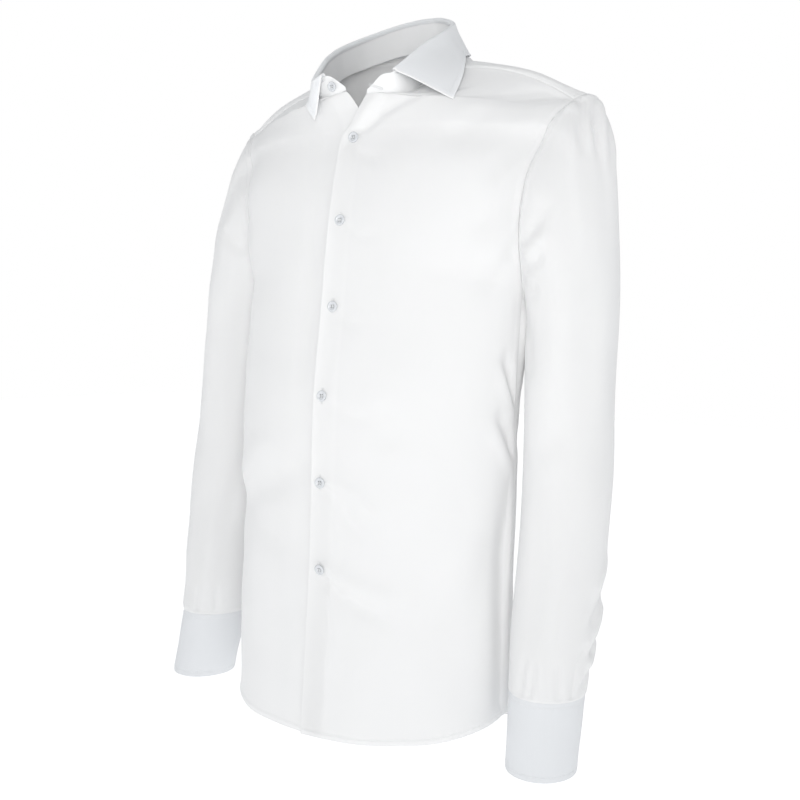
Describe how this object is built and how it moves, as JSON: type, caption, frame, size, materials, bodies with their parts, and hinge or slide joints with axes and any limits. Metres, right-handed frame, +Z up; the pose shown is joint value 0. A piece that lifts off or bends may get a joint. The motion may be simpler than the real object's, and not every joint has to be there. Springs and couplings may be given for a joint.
{
  "type": "long sleeve dress shirt",
  "caption": "White long sleeve dress shirt with a pointed collar, button front, barrel cuffs and a curved hem, hanging in its worn shape.",
  "frame": {"origin": "level with the side neck points, midway between the shoulders, where the wearer holds the shirt up", "axes": "+Z up towards the collar, -Y the way the wearer faces, +X the wearer's left"},
  "size_m": [0.5362, 0.2186, 0.7905],
  "materials": {
    "white_poplin": "matte",
    "button_pearl": "gloss"
  },
  "bodies": {
    "root": {"left_front": "white_poplin", "right_front": "white_poplin", "back": "white_poplin", "yoke": "white_poplin", "left_sleeve": "white_poplin", "left_cuff": "white_poplin", "left_gauntlet": "white_poplin", "left_cuff_button": "button_pearl", "right_sleeve": "white_poplin", "right_cuff": "white_poplin", "right_gauntlet": "white_poplin", "right_cuff_button": "button_pearl", "collar_band": "white_poplin", "collar_leaf": "white_poplin", "front_button_1": "button_pearl", "front_button_2": "button_pearl", "front_button_3": "button_pearl", "front_button_4": "button_pearl", "front_button_5": "button_pearl", "front_button_6": "button_pearl", "collar_button": "button_pearl"}
  },
  "joints": []
}
